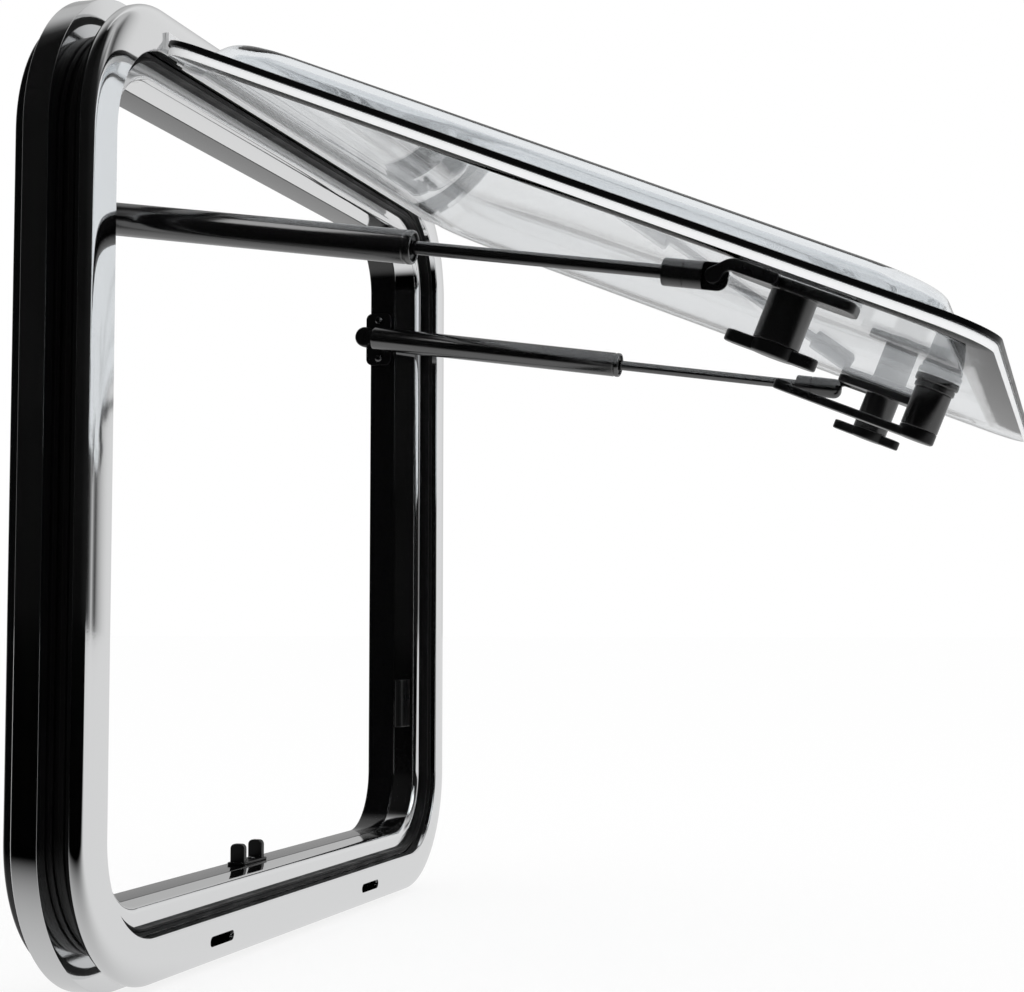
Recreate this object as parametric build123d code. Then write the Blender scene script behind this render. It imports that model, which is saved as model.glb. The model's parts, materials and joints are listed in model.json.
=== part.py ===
from build123d import *
from math import atan2, cos, degrees, hypot, radians, sin, tan
import os

# Caravan window: an aluminium frame clamped in a wall, and a domed acrylic sash
# that is hinged along its top edge and held open by a gas strut at each side.
# X runs along the width, -Y points outdoors and +Z up.  The origin is on the
# flange's flat rear face, at the middle of its bottom side.  Every piece is
# drawn as it stands with the sash open.  Sizes are in millimetres.

# Overall sizes
WIDTH = 500.0
HEIGHT = 450.0
CORNER_R = 70.0
WALL = 10.6
OPEN_ANGLE = 67.8

# Frame section: "in" is measured inwards from the flange's outer edge
CREST_OUT = 10.0
EDGE_OUT = 4.5
FLANGE_SLOPE_IN = 11.0
FLANGE_ROUND = 9.0
CREST_IN = 21.5
REVEAL_IN = 35.0
REVEAL_CHAMFER = 2.0
REVEAL_DEPTH = 14.0
SKIN = 2.0
REVEAL_SKIN = 1.8
SEAT_IN = 6.0
ORIGIN_IN = 9.0

# Drain slots in the bottom of the flange
DRAIN_SPACING = 212.0
DRAIN_LENGTH = 28.0
DRAIN_HEIGHT = 5.0
DRAIN_IN = 10.5

# Gasket, sleeve, clamp ring and trim
GASKET_GAP = 0.3
SLEEVE_IN = 12.0
SLEEVE_SUNK = 0.5
SLEEVE_THICK = 5.0
SLEEVE_GROOVE_DEEP = 1.8
SLEEVE_GROOVE_WIDE = 2.4
CLAMP_OVERHANG = 3.5
CLAMP_DEEP = 12.6
CLAMP_SKIN = 2.0
CLAMP_LIP = 10.0
TRIM_DEEP = 8.3
TRIM_IN = 4.0
TRIM_CHAMFER = 1.5
PART_LINE = 0.4

# Seal in the flange's recess
SEAL_BASE_WIDE = 4.6
SEAL_BASE_TALL = 1.6
SEAL_LIP_REACH = 2.4
SEAL_LIP_TALL = 7.0
SEAL_LIP_THICK = 1.0
SEAL_WALL_GAP = 0.4

# Hinge along the top: a bead on the frame's rail, a hooked leaf on the sash
HINGE_OUT = 16.25
HINGE_IN = 22.4
HINGE_END = 48.0
BEAD_R = 2.5
BEAD_CLEARANCE = 0.3
LEAF_THICK = 1.5
LEAF_FROM_ANGLE = 153.0
LEAF_TO_ANGLE = 358.0
LEAF_FAN_STEPS = 12
LEAF_GRIP = 9.0
LEAF_WALL = 1.0
LEAF_ROOT = 0.6
LEAF_SHORTER = 4.0
RAIL_BASE_THICK = 1.5
RAIL_BASE_TALL = 8.0
RAIL_BASE_IN = 11.5
RAIL_WEB_THICK = 1.4

# Sash: two acrylic sheets, "down" is measured along it from the hinge axis
SASH_GAP = 5.5
SASH_TOP_DOWN = 6.0
SASH_CORNER_R = 26.0
SHEET_OUT = 15.0
OUTER_SHEET = 3.0
INNER_SHEET = 3.5
INNER_SHEET_INSET = 0.8
DOME_RIM = 12.0
DOME_RIM_BOTTOM = 20.0
DOME_RISE = 14.5
DOME_SLOPE = 58.0
DOME_CROWN_R = 15.0

# Gas struts
STRUT_INSET = 12.5
FOOT_BACK = 30.0
FOOT_SHARE = 0.22
PIVOT_SHARE = 0.7032
PIVOT_BACK = 9.6
TUBE_R = 7.5
TUBE_CHAMFER = 0.8
TUBE_SKIN = 1.5
TUBE_START = 5.5
TUBE_END_THICK = 3.0
COLLAR_LENGTH = 5.0
COLLAR_SUNK = 0.8
ROD_RUNNING_GAP = 0.05
ROD_R = 3.0
ROD_SHOWN_CLOSED = 14.0
ROD_END_GAP = 8.0
SOCKET_R = 6.0
SOCKET_LENGTH = 28.0
SOCKET_CHAMFER = 1.2
SOCKET_PAST_PIVOT = 5.7
SOCKET_FLAT_OUT = 0.2
SOCKET_FLAT_BACK = 8.5
EYE_R = 6.5
EYE_WIDE = 9.0
EYE_TUBE_GAP = 0.1
STUD_R = 3.5
STUD_GAP = 0.3
FOOT_PLATE_TALL = 34.0
FOOT_PLATE_DEEP = 15.0
FOOT_PLATE_THICK = 2.5
FOOT_PLATE_ROUND = 4.0
ARM_THICK = 4.5
ARM_TIP_R = 3.6
ARM_FOOT_START = 6.0
ARM_FOOT_LENGTH = 20.0
ARM_FOOT_TALL = 5.2
ARM_SEAT_STEP = 4.0
ARM_SEAT_WIDE = 5.0

# Side latches: a turning T-bar on a post, and a keeper on each jamb
LATCH_INSET = 25.0
LATCH_BELOW_PIVOT = 32.0
LATCH_PLATE_LENGTH = 56.0
LATCH_PLATE_WIDE = 24.0
LATCH_PLATE_THICK = 4.7
LATCH_PLATE_CHAMFER = 1.2
LATCH_PLATE_TIP = 29.0
LATCH_POST_R = 10.2
LATCH_POST_TALL = 22.0
HOOK_LENGTH = 41.0
HOOK_WIDE = 11.0
HOOK_THICK = 5.3
HOOK_CHAMFER = 1.0
HOOK_OFFSET = 1.0
HOOK_BOSS_R = 8.7
TURN_GAP = 0.3
KEEPER_REACH = 9.8
KEEPER_THICK = 4.5
KEEPER_ROUND = 1.5
KEEPER_TALL = 30.0
KEEPER_CLEAR = 5.2

# Middle lock: a longer lever, and two prongs on the bottom of the frame
LOCK_FROM_END = 39.5
LOCK_BASE_R = 11.8
LOCK_BASE_TALL = 3.6
LOCK_COLLAR_R = 10.4
LOCK_COLLAR_TALL = 3.4
LOCK_COLLAR_CHAMFER = 1.0
LOCK_POST_R = 9.0
LOCK_POST_TALL = 20.0
LEVER_REACH = 77.0
LEVER_WIDE = 13.0
LEVER_TIP_WIDE = 9.0
LEVER_THICK = 6.0
LEVER_TIP_THICK = 4.2
LEVER_CHAMFER = 1.0
LEVER_BOSS_R = 8.4
PRONG_SPACING = 24.0
PRONG_THICK = 4.0
PRONG_DEEP = 8.0
PRONG_TALL = 11.0
PRONG_ROUND = 2.5
PRONG_BACK = 23.0
PRONG_BASE_THICK = 2.0
PRONG_BASE_MARGIN = 5.0
PRONG_BASE_STEP = 2.0

MIDDLE_UP = HEIGHT / 2 - ORIGIN_IN
TOP_UP = MIDDLE_UP + HEIGHT / 2
BOTTOM_UP = MIDDLE_UP - HEIGHT / 2
HINGE_UP = TOP_UP - HINGE_IN
HINGE_AXIS = Axis((0, -HINGE_OUT, HINGE_UP), (1, 0, 0))
HINGE_LENGTH = WIDTH - 2 * HINGE_END
CLAMP_BACK = WALL + CLAMP_DEEP
FRAME_BACK = CLAMP_BACK + TRIM_DEEP
REVEAL_X = WIDTH / 2 - REVEAL_IN
SASH_INSIDE_Y = -SHEET_OUT + INNER_SHEET
SASH_WIDTH = WIDTH - 2 * (CREST_IN + SASH_GAP)
SASH_END_DOWN = HINGE_UP - BOTTOM_UP - CREST_IN - SASH_GAP
SASH_MIDDLE_UP = HINGE_UP - (SASH_TOP_DOWN + SASH_END_DOWN) / 2
LATCH_X = REVEAL_X - LATCH_INSET
LOCK_DOWN = SASH_END_DOWN - LOCK_FROM_END
HOOK_Y = SASH_INSIDE_Y + LATCH_PLATE_THICK + LATCH_POST_TALL
STRUT_X = REVEAL_X - STRUT_INSET
FOOT_UP = TOP_UP - HEIGHT * FOOT_SHARE
PIVOT_DOWN = SASH_END_DOWN * PIVOT_SHARE
LATCH_DOWN = PIVOT_DOWN + LATCH_BELOW_PIVOT


def ring(points, rounded=()):
    """A section of (in, Y) points carried round the flange's outer edge."""
    outline = Plane.XZ * RectangleRounded(WIDTH, HEIGHT, CORNER_R)
    path = Pos(0, 0, MIDDLE_UP) * outline.wire()
    start = path @ 0
    inwards = Vector(0, 1, 0).cross(path % 0)
    if inwards.dot(Vector(0, 0, MIDDLE_UP) - start) < 0:
        inwards = -inwards
    frame = Plane(origin=start, x_dir=inwards, z_dir=inwards.cross(Vector(0, 1, 0)))
    face = Polygon(*points, align=None)
    for index, radius in rounded:
        nearest = face.vertices().sort_by_distance(Vector(*points[index], 0))[0]
        face = fillet(nearest, radius)
    return sweep(frame * face, path=path)


def along_x(section, length):
    """A section drawn in (Y, Z) and drawn out to a length centred on the window's middle."""
    plane = Plane(origin=(-length / 2, 0, 0), x_dir=(0, 1, 0), z_dir=(1, 0, 0))
    return extrude(plane * section, length)


def opened(piece):
    """Turn a piece of the closed sash to the open pose."""
    return piece.rotate(HINGE_AXIS, -OPEN_ANGLE)


def sash_plane(x, down, y):
    """A plane on the closed sash: its normal points indoors, its x axis runs down."""
    return Plane(origin=(x, y, HINGE_UP - down), x_dir=(0, 0, -1), z_dir=(0, 1, 0))


def bar_outline(length, wide, tip_wide):
    """A bar with round ends that narrows from wide to tip_wide, centred on its wide end."""
    big, small = Circle(wide / 2), Pos(-length, 0) * Circle(tip_wide / 2)
    return make_hull((big + small).edges())


def outer_frame():
    hollow_front = -CREST_OUT + SKIN
    reveal_back = REVEAL_IN - REVEAL_SKIN
    points = [
        (0.0, -SKIN), (0.0, -EDGE_OUT), (FLANGE_SLOPE_IN, -CREST_OUT), (CREST_IN, -CREST_OUT),
        (CREST_IN, -SKIN), (REVEAL_IN - REVEAL_CHAMFER, -SKIN), (REVEAL_IN, -SKIN + REVEAL_CHAMFER),
        (REVEAL_IN, REVEAL_DEPTH), (reveal_back, REVEAL_DEPTH), (reveal_back, -SLEEVE_SUNK),
        (SLEEVE_IN, -SLEEVE_SUNK), (SLEEVE_IN, 0.0), (SEAT_IN, 0.0), (SEAT_IN, -SKIN),
        (CREST_IN - SKIN, -SKIN), (CREST_IN - SKIN, hollow_front), (FLANGE_SLOPE_IN + SKIN / 2, hollow_front),
        (SKIN, -EDGE_OUT + SKIN / 2), (SKIN, -SKIN),
    ]
    frame = ring(points, rounded=[(2, FLANGE_ROUND)])
    slot = Pos(0, 0, 2 * SKIN) * SlotOverall(DRAIN_LENGTH, DRAIN_HEIGHT)
    for side in (-1, 1):
        spot = Plane(origin=(side * DRAIN_SPACING / 2, 0, BOTTOM_UP + DRAIN_IN), x_dir=(1, 0, 0),
                     z_dir=(0, -1, 0))
        frame -= extrude(spot * slot, CREST_OUT)
    return frame


def flange_gasket():
    low, high = SKIN + GASKET_GAP, SEAT_IN
    return ring([(low, -SKIN), (high, -SKIN), (high, 0.0), (low, 0.0)])


def neck_sleeve():
    deep = SLEEVE_IN + SLEEVE_GROOVE_DEEP
    near = (WALL - SLEEVE_GROOVE_WIDE) / 2
    far = near + SLEEVE_GROOVE_WIDE
    inner = SLEEVE_IN + SLEEVE_THICK
    return ring([(inner, -SLEEVE_SUNK), (SLEEVE_IN, -SLEEVE_SUNK), (SLEEVE_IN, near), (deep, near),
                 (deep, far), (SLEEVE_IN, far), (SLEEVE_IN, WALL), (inner, WALL)])


def clamp_ring():
    outer, inner = -CLAMP_OVERHANG, REVEAL_IN - REVEAL_SKIN
    front, back = WALL, CLAMP_BACK
    skin, lip = CLAMP_SKIN, outer + CLAMP_LIP
    return ring([(outer, front), (inner, front), (inner, front + skin), (outer + skin, front + skin),
                 (outer + skin, back - skin), (lip, back - skin), (lip, back), (outer, back)])


def inner_trim():
    front, back = REVEAL_DEPTH + PART_LINE, FRAME_BACK
    skin, cut = REVEAL_SKIN, TRIM_CHAMFER
    return ring([(TRIM_IN, CLAMP_BACK), (TRIM_IN, back - cut), (TRIM_IN + cut, back),
                 (REVEAL_IN - cut, back), (REVEAL_IN, back - cut), (REVEAL_IN, front),
                 (REVEAL_IN - skin, front), (REVEAL_IN - skin, back - skin), (TRIM_IN + skin, back - skin),
                 (TRIM_IN + skin, CLAMP_BACK)])


def sash_seal():
    near = CREST_IN + SEAL_WALL_GAP
    far = near + SEAL_BASE_WIDE
    base = -SKIN - SEAL_BASE_TALL
    tip_in = far + SEAL_LIP_REACH
    tip = -SKIN - SEAL_LIP_TALL
    return ring([(near, -SKIN), (far, -SKIN), (far, base), (tip_in, tip), (tip_in - SEAL_LIP_THICK, tip),
                 (far - SEAL_LIP_THICK, base), (near, base)])


def hinge_rail():
    base_at = Vector(-CREST_OUT - RAIL_BASE_THICK / 2, TOP_UP - RAIL_BASE_IN - RAIL_BASE_TALL / 2)
    bead_at = Vector(-HINGE_OUT, HINGE_UP)
    run = base_at - bead_at
    base = Pos(base_at) * Rectangle(RAIL_BASE_THICK, RAIL_BASE_TALL)
    web = Pos((bead_at + base_at) / 2) * Rot(0, 0, degrees(atan2(run.Y, run.X))) * Rectangle(
        run.length, RAIL_WEB_THICK)
    return along_x(base + web + Pos(bead_at) * Circle(BEAD_R), HINGE_LENGTH)


def hinge_leaf():
    inner = BEAD_R + BEAD_CLEARANCE
    outer = inner + LEAF_THICK
    reach = 3 * outer
    fan = [(0, 0)]
    for step in range(LEAF_FAN_STEPS + 1):
        share = step / LEAF_FAN_STEPS
        turn = radians(LEAF_FROM_ANGLE + share * (LEAF_TO_ANGLE - LEAF_FROM_ANGLE))
        fan.append((reach * cos(turn), reach * sin(turn)))
    bead_at = Pos(-HINGE_OUT, HINGE_UP)
    knuckle = bead_at * ((Circle(outer) - Circle(inner)) & Polygon(*fan, align=None))
    front, back = -SHEET_OUT - OUTER_SHEET, SASH_INSIDE_Y
    web_top = HINGE_UP - outer + LEAF_ROOT
    web_bottom = HINGE_UP - SASH_TOP_DOWN
    web = Pos((front + back) / 2, (web_top + web_bottom) / 2) * Rectangle(
        back - front + 2 * LEAF_WALL, web_top - web_bottom)
    section = knuckle + (web - bead_at * Circle(inner))
    for wall_y in (front - LEAF_WALL / 2, back + LEAF_WALL / 2):
        section += Pos(wall_y, web_bottom - LEAF_GRIP / 2) * Rectangle(LEAF_WALL, LEAF_GRIP)
    return opened(along_x(section, HINGE_LENGTH - LEAF_SHORTER))


def sheet_outline(inset, shorter=0):
    """The sheets' outline, set in all round, and shorter still at the bottom."""
    tall = SASH_END_DOWN - SASH_TOP_DOWN - 2 * inset - shorter
    outline = RectangleRounded(tall, SASH_WIDTH - 2 * inset, SASH_CORNER_R - inset / 4)
    return Pos(-shorter / 2, 0) * outline


def sheet_face(y, outwards):
    """The plane of a sheet's face at y, its normal pointing outdoors or indoors."""
    return Plane(origin=(0, y, SASH_MIDDLE_UP), x_dir=(0, 0, -1), z_dir=(0, -1 if outwards else 1, 0))


def dome(inset, y):
    """The bulge outdoors of one face of the outer sheet, standing on the plane at y."""
    outline = sheet_outline(inset, DOME_RIM_BOTTOM - DOME_RIM)
    bulge = extrude(sheet_face(y, True) * outline, DOME_RISE, taper=90 - DOME_SLOPE)
    crown = bulge.faces().sort_by(Axis.Y)[0]
    return fillet(crown.edges(), DOME_CROWN_R)


def outer_pane():
    sheet = extrude(sheet_face(-SHEET_OUT, True) * sheet_outline(0), OUTER_SHEET)
    shift = OUTER_SHEET * tan(radians(DOME_SLOPE / 2))
    sheet += dome(DOME_RIM, -SHEET_OUT - OUTER_SHEET)
    sheet -= dome(DOME_RIM + shift, -SHEET_OUT)
    return opened(sheet)


def inner_pane():
    return opened(extrude(sheet_face(-SHEET_OUT, False) * sheet_outline(INNER_SHEET_INSET), INNER_SHEET))


def latch_outline(side):
    """The latch plate's outline, which narrows towards the hinge, on the closed sash."""
    tail = LATCH_PLATE_LENGTH - LATCH_PLATE_TIP
    quarter = LATCH_PLATE_WIDE / 4
    outline = bar_outline(LATCH_PLATE_TIP - quarter, LATCH_PLATE_WIDE, LATCH_PLATE_WIDE / 2)
    outline += Pos((tail - quarter) / 2, 0) * RectangleRounded(tail + quarter, LATCH_PLATE_WIDE, quarter)
    return sash_plane(side * LATCH_X, LATCH_DOWN, SASH_INSIDE_Y) * outline


def latch_plate(side):
    plate = extrude(latch_outline(side), LATCH_PLATE_THICK)
    return opened(chamfer(plate.faces().sort_by(Axis.Y)[-1].edges(), LATCH_PLATE_CHAMFER))


def latch_post(side):
    plane = sash_plane(side * LATCH_X, LATCH_DOWN, SASH_INSIDE_Y + LATCH_PLATE_THICK)
    return opened(extrude(plane * Circle(LATCH_POST_R), LATCH_POST_TALL - TURN_GAP))


def latch_hook(side):
    plane = sash_plane(side * LATCH_X, LATCH_DOWN, HOOK_Y)
    bar = extrude(plane * Pos(-HOOK_OFFSET, 0) * SlotOverall(HOOK_LENGTH, HOOK_WIDE), HOOK_THICK)
    bar = chamfer(bar.faces().sort_by(Axis.Y)[-1].edges(), HOOK_CHAMFER)
    return opened(bar + extrude(plane * Circle(HOOK_BOSS_R), HOOK_THICK / 2))


def lock_base():
    return opened(extrude(sash_plane(0, LOCK_DOWN, SASH_INSIDE_Y) * Circle(LOCK_BASE_R), LOCK_BASE_TALL))


def lock_collar():
    plane = sash_plane(0, LOCK_DOWN, SASH_INSIDE_Y + LOCK_BASE_TALL)
    collar = extrude(plane * Circle(LOCK_COLLAR_R), LOCK_COLLAR_TALL)
    return opened(chamfer(collar.faces().sort_by(Axis.Y)[-1].edges(), LOCK_COLLAR_CHAMFER))


def lock_post():
    plane = sash_plane(0, LOCK_DOWN, SASH_INSIDE_Y + LOCK_BASE_TALL + LOCK_COLLAR_TALL)
    return opened(extrude(plane * Circle(LOCK_POST_R), LOCK_POST_TALL - TURN_GAP))


def lock_lever():
    front = SASH_INSIDE_Y + LOCK_BASE_TALL + LOCK_COLLAR_TALL + LOCK_POST_TALL
    plane = sash_plane(0, LOCK_DOWN, front)
    outline = bar_outline(LEVER_REACH - LEVER_TIP_WIDE / 2, LEVER_WIDE, LEVER_TIP_WIDE)
    lever = extrude(plane * (outline + Circle(LEVER_BOSS_R)), LEVER_THICK)
    relief = sash_plane(0, LOCK_DOWN - LEVER_REACH / 2 - LOCK_POST_R, front)
    lever -= extrude(relief * Rectangle(LEVER_REACH, 2 * LEVER_WIDE), LEVER_THICK - LEVER_TIP_THICK)
    return opened(chamfer(lever.faces().sort_by(Axis.Y)[-1].edges(), LEVER_CHAMFER))


def latch_keeper(side):
    middle_y = HOOK_Y - KEEPER_CLEAR - KEEPER_THICK / 2
    ledge = Box(KEEPER_REACH, KEEPER_THICK, KEEPER_TALL)
    ledge = Pos(side * (REVEAL_X - KEEPER_REACH / 2), middle_y, HINGE_UP - LATCH_DOWN) * ledge
    edges = ledge.edges().filter_by(Axis.Z).sort_by(Axis.X)
    return fillet(edges[:2] if side > 0 else edges[-2:], KEEPER_ROUND)


def lock_keeper():
    on_reveal = (Align.CENTER, Align.CENTER, Align.MIN)
    spread = PRONG_SPACING + PRONG_THICK + 2 * PRONG_BASE_MARGIN
    keeper = Box(spread, PRONG_DEEP + 2 * PRONG_BASE_STEP, PRONG_BASE_THICK, align=on_reveal)
    for side in (-1, 1):
        prong = Box(PRONG_THICK, PRONG_DEEP, PRONG_TALL, align=on_reveal)
        top = prong.faces().sort_by(Axis.Z)[-1]
        keeper += Pos(side * PRONG_SPACING / 2, 0, 0) * fillet(top.edges().filter_by(Axis.X), PRONG_ROUND)
    return Pos(0, PRONG_BACK, BOTTOM_UP + REVEAL_IN) * keeper


def pivot_at(turned):
    """Where the rod's end meets the sash, as (Y, Z), with the sash open by an angle."""
    y = SASH_INSIDE_Y + PIVOT_BACK + HINGE_OUT
    z = -PIVOT_DOWN
    turn = radians(-turned)
    return -HINGE_OUT + y * cos(turn) - z * sin(turn), HINGE_UP + y * sin(turn) + z * cos(turn)


def strut_length(turned):
    """From the foot's stud to the rod's end, with the sash open by an angle."""
    y, z = pivot_at(turned)
    return hypot(y - FOOT_BACK, z - FOOT_UP)


OPEN_LENGTH = strut_length(OPEN_ANGLE)
STROKE = OPEN_LENGTH - strut_length(0)
SOCKET_START = OPEN_LENGTH + SOCKET_PAST_PIVOT - SOCKET_LENGTH
TUBE_LENGTH = SOCKET_START - STROKE - ROD_SHOWN_CLOSED


def strut_plane(side, along):
    """A plane across the open strut, its normal pointing from the foot to the sash."""
    y, z = pivot_at(OPEN_ANGLE)
    run = Vector(0, y - FOOT_BACK, z - FOOT_UP).normalized()
    start = Vector(side * STRUT_X, FOOT_BACK, FOOT_UP) + run * along
    return Plane(origin=start, x_dir=(1, 0, 0), z_dir=run)


def strut_tube(side):
    length = TUBE_LENGTH - TUBE_START
    tube = extrude(strut_plane(side, TUBE_START) * Circle(TUBE_R), length)
    tube = chamfer(tube.edges().filter_by(GeomType.CIRCLE), TUBE_CHAMFER)
    bore = strut_plane(side, TUBE_START + TUBE_END_THICK) * Circle(TUBE_R - TUBE_SKIN)
    return tube - extrude(bore, length)


def strut_eye(side):
    eye = Pos(side * STRUT_X, FOOT_BACK, FOOT_UP) * Rot(0, 90, 0) * Cylinder(EYE_R, EYE_WIDE)
    return eye - extrude(strut_plane(side, TUBE_START) * Circle(TUBE_R + EYE_TUBE_GAP), EYE_R)


def strut_collar(side):
    start = TUBE_LENGTH - COLLAR_SUNK - COLLAR_LENGTH
    annulus = Circle(TUBE_R - TUBE_SKIN) - Circle(ROD_R + ROD_RUNNING_GAP)
    return extrude(strut_plane(side, start) * annulus, COLLAR_LENGTH)


def strut_rod(side):
    start = TUBE_START + STROKE + ROD_END_GAP
    return extrude(strut_plane(side, start) * Circle(ROD_R), SOCKET_START - start)


def rod_socket(side):
    """The rod's round end, with a flat on its outer side where the arm on the sash lies."""
    socket = extrude(strut_plane(side, SOCKET_START) * Circle(SOCKET_R), SOCKET_LENGTH)
    socket = chamfer(socket.edges().filter_by(GeomType.CIRCLE), SOCKET_CHAMFER)
    beyond = Pos(side * (SOCKET_FLAT_OUT + SOCKET_R), 0) * Rectangle(2 * SOCKET_R, 3 * SOCKET_R)
    return socket - extrude(strut_plane(side, OPEN_LENGTH - SOCKET_FLAT_BACK) * beyond, SOCKET_LENGTH)


def strut_foot(side):
    plate = Box(FOOT_PLATE_THICK, FOOT_PLATE_DEEP, FOOT_PLATE_TALL)
    plate = fillet(plate.edges().filter_by(Axis.X), FOOT_PLATE_ROUND)
    plate_y = FRAME_BACK - FOOT_PLATE_DEEP / 2
    plate = Pos(side * (REVEAL_X - FOOT_PLATE_THICK / 2), plate_y, FOOT_UP) * plate
    eye_face = STRUT_X + EYE_WIDE / 2 + STUD_GAP
    stud = Rot(0, 90, 0) * Cylinder(STUD_R, REVEAL_X - eye_face)
    return plate + Pos(side * (REVEAL_X + eye_face) / 2, FOOT_BACK, FOOT_UP) * stud


def strut_bracket(side):
    """An arm beside the latch plate, bent away from the pane; its round tip lies on the rod's end."""
    inner_face = STRUT_X + SOCKET_FLAT_OUT + STUD_GAP
    up = HINGE_UP - PIVOT_DOWN
    plane = Plane(origin=(side * inner_face, SASH_INSIDE_Y, up), x_dir=(0, 0, -1), z_dir=(1, 0, 0))
    tip = Pos(0, PIVOT_BACK) * Circle(ARM_TIP_R)
    heel = Pos(ARM_FOOT_START, ARM_FOOT_TALL / 2) * Circle(ARM_FOOT_TALL / 2)
    foot = Pos(ARM_FOOT_START, 0) * Rectangle(ARM_FOOT_LENGTH, ARM_FOOT_TALL, align=Align.MIN)
    arm = extrude(plane * (make_hull((tip + heel).edges()) + foot), side * ARM_THICK)
    seat_long = ARM_FOOT_LENGTH - ARM_SEAT_STEP
    seat_up = up - ARM_FOOT_START - ARM_FOOT_LENGTH + seat_long / 2
    seat = Box(ARM_SEAT_WIDE, ARM_FOOT_TALL, seat_long)
    seat = Pos(side * (inner_face - ARM_SEAT_WIDE / 2), SASH_INSIDE_Y + ARM_FOOT_TALL / 2, seat_up) * seat
    return opened(arm + (seat - extrude(latch_outline(side), ARM_FOOT_TALL)))


SINGLE = {
    "outer_frame": outer_frame,
    "flange_gasket": flange_gasket,
    "neck_sleeve": neck_sleeve,
    "clamp_ring": clamp_ring,
    "inner_trim": inner_trim,
    "sash_seal": sash_seal,
    "hinge_rail": hinge_rail,
    "hinge_leaf": hinge_leaf,
    "outer_pane": outer_pane,
    "inner_pane": inner_pane,
    "lock_base": lock_base,
    "lock_collar": lock_collar,
    "lock_post": lock_post,
    "lock_lever": lock_lever,
    "lock_keeper": lock_keeper,
}
PAIRED = {
    "latch_plate": latch_plate,
    "latch_post": latch_post,
    "latch_hook": latch_hook,
    "latch_keeper": latch_keeper,
    "strut_tube": strut_tube,
    "strut_eye": strut_eye,
    "strut_collar": strut_collar,
    "strut_rod": strut_rod,
    "rod_socket": rod_socket,
    "strut_foot": strut_foot,
    "strut_bracket": strut_bracket,
}


def pieces():
    """Every piece by its node's name; left is -X, seen from outdoors."""
    built = {name: make() for name, make in SINGLE.items()}
    for name, make in PAIRED.items():
        built[name + "_left"] = make(-1)
        built[name + "_right"] = make(1)
    return built


if __name__ == "__main__":
    os.makedirs("parts", exist_ok=True)
    for name, piece in pieces().items():
        export_step(piece, "parts/" + name + ".step")
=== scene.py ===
from functools import cache
import json
import math

import bmesh
import bpy
from mathutils import Matrix, Vector

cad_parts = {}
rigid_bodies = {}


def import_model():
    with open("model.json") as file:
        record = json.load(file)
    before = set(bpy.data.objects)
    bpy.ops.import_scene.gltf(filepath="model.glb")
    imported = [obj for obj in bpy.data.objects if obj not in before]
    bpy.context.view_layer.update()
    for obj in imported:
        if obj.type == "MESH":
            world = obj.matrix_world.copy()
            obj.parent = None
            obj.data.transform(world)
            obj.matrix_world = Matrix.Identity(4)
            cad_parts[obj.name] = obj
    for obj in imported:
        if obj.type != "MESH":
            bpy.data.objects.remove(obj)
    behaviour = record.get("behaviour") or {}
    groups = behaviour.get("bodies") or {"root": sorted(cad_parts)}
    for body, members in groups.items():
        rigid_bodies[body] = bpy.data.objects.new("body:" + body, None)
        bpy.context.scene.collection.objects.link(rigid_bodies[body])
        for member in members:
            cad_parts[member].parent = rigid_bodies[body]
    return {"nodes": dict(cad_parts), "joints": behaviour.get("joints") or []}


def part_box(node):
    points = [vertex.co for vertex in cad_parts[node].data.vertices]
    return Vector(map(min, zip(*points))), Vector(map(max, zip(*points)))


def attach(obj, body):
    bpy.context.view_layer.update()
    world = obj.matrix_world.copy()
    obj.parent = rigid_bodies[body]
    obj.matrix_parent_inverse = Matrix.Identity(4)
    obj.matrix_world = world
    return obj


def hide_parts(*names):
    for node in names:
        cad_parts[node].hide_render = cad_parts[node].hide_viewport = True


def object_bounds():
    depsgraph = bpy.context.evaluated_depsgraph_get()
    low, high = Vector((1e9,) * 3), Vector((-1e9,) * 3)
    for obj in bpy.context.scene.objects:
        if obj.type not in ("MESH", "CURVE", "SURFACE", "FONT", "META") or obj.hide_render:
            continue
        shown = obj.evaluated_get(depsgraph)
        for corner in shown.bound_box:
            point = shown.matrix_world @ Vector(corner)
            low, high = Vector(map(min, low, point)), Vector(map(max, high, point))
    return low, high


bl_info = {
    "name": "Caravan window",
    "version": (1, 0, 0),
    "blender": (4, 5, 0),
    "location": "View3D > Sidebar > Caravan window",
    "description": "Dresses a top-hung caravan window: frame, domed acrylic sash, gas struts and latches",
    "category": "Object",
}

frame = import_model()
CAD_LOW, CAD_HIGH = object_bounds()
MM = 0.001
SIDES = (("left", -1), ("right", 1))


def joint(name):
    return next(j for j in frame["joints"] if j["name"] == name)


def joint_at(name):
    """Where a joint is, in millimetres."""
    return Vector(joint(name)["pos_m"]) / MM


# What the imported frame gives: the flange's box in metres, two places in millimetres, and a direction
FLANGE_LOW, FLANGE_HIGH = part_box("outer_frame")
HINGE_AT = joint_at("sash_hinge")
OPEN_ANGLE = math.radians(joint("sash_hinge")["range_deg"][1])
FOOT_AT = joint_at("strut_swing_right")
STRUT_RUN = Vector(joint("rod_slide_right")["axis"]).normalized()

# Where the closed sash's inner face lies, and depths that neighbouring frame pieces share, in millimetres
SASH_INSIDE_Y = -11.5
FACE_Y = -10.0
RECESS_Y = -2.0
NECK_Y = -0.5
CREST_IN = 21.5
NECK_IN = 12.0
METAL = 1.8

# Turns an (x, z) outline to face along Y, and a (y, z) outline to face along X
FACING_Y = Matrix(((1, 0, 0, 0), (0, 0, 1, 0), (0, 1, 0, 0), (0, 0, 0, 1)))
FACING_X = Matrix(((0, 0, 1, 0), (1, 0, 0, 0), (0, 1, 0, 0), (0, 0, 0, 1)))


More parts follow.
